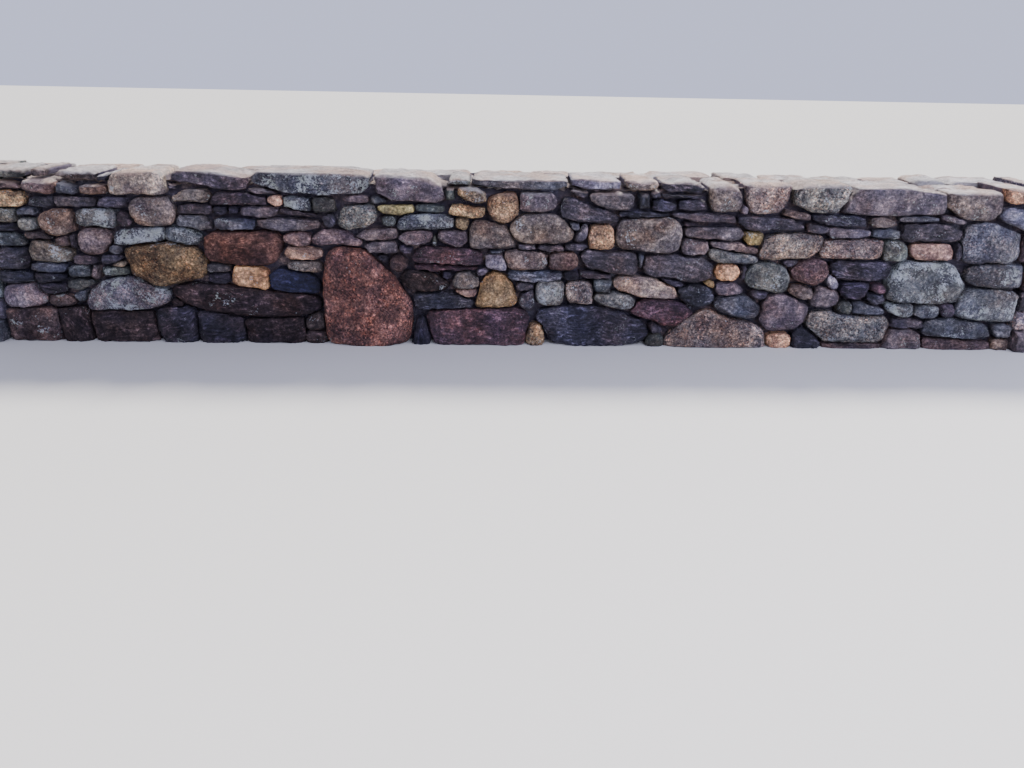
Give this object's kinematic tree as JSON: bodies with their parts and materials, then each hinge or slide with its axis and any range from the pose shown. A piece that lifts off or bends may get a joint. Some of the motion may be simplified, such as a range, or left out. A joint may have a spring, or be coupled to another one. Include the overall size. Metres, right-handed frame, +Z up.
{
  "type": "dry stone wall",
  "caption": "Straight free-standing dry stone wall of irregular mixed field stones laid without mortar, large boulders at the foot, flat uneven coping along the top.",
  "frame": {"origin": "middle of the wall's foot, on the ground", "axes": "X runs along the wall from left to right as its seen face is looked at, the seen face looks to -Y, Z is up"},
  "size_m": [7.614, 0.914, 1.1826],
  "materials": {
    "cope_cream": "weathered field stone with lichen",
    "cope_purple": "weathered field stone with lichen",
    "cope_lichen": "weathered field stone with lichen",
    "cope_pink": "weathered field stone with lichen",
    "cope_blue": "weathered field stone with lichen",
    "cope_round": "weathered field stone with lichen",
    "cope_granite": "weathered field stone with lichen",
    "cope_speckled": "weathered field stone with lichen",
    "cope_smooth": "weathered field stone with lichen",
    "cope_brown": "weathered field stone with lichen",
    "cope_minor": "weathered field stone with lichen",
    "boulder_red": "rounded, weathered boulder",
    "boulder_olive": "rounded, weathered boulder",
    "boulder_pale": "rounded, weathered boulder",
    "slab_rust": "rough split slab",
    "slab_dark": "rough split slab",
    "slab_blueblack": "rough split slab",
    "block_ochre": "rough squared stone",
    "slab_red": "rough split slab",
    "slab_blue": "rough split slab",
    "boulder_pink": "rounded, weathered boulder",
    "boulder_lichen": "rounded, weathered boulder",
    "block_brown": "rough squared stone",
    "boulder_tan": "rounded, weathered boulder",
    "boulder_grey": "rounded, weathered boulder",
    "boulder_slate": "rounded, weathered boulder",
    "left_a": "mixed field stone",
    "left_b": "mixed field stone",
    "left_c": "mixed field stone",
    "left_d": "mixed field stone",
    "left_e": "mixed field stone",
    "left_f": "mixed field stone",
    "right_a": "mixed field stone",
    "right_b": "mixed field stone",
    "right_c": "mixed field stone",
    "right_d": "mixed field stone",
    "right_e": "mixed field stone",
    "far_low": "mixed field stone",
    "far_middle": "mixed field stone",
    "far_high": "mixed field stone",
    "cope_far": "weathered field stone with lichen",
    "quoins_left": "rough quoin stone",
    "quoins_right": "rough quoin stone",
    "hearting": "packed rubble in shade"
  },
  "bodies": {
    "root": {"cope_cream": "cope_cream", "cope_purple": "cope_purple", "cope_lichen": "cope_lichen", "cope_pink": "cope_pink", "cope_blue": "cope_blue", "cope_round": "cope_round", "cope_granite": "cope_granite", "cope_speckled": "cope_speckled", "cope_smooth": "cope_smooth", "cope_brown": "cope_brown", "cope_minor": "cope_minor", "boulder_red": "boulder_red", "boulder_olive": "boulder_olive", "boulder_pale": "boulder_pale", "slab_rust": "slab_rust", "slab_dark": "slab_dark", "slab_blueblack": "slab_blueblack", "block_ochre": "block_ochre", "slab_red": "slab_red", "slab_blue": "slab_blue", "boulder_pink": "boulder_pink", "boulder_lichen": "boulder_lichen", "block_brown": "block_brown", "boulder_tan": "boulder_tan", "boulder_grey": "boulder_grey", "boulder_slate": "boulder_slate", "left_a": "left_a", "left_b": "left_b", "left_c": "left_c", "left_d": "left_d", "left_e": "left_e", "left_f": "left_f", "right_a": "right_a", "right_b": "right_b", "right_c": "right_c", "right_d": "right_d", "right_e": "right_e", "far_low": "far_low", "far_middle": "far_middle", "far_high": "far_high", "cope_far": "cope_far", "quoins_left": "quoins_left", "quoins_right": "quoins_right", "hearting": "hearting"}
  },
  "joints": []
}
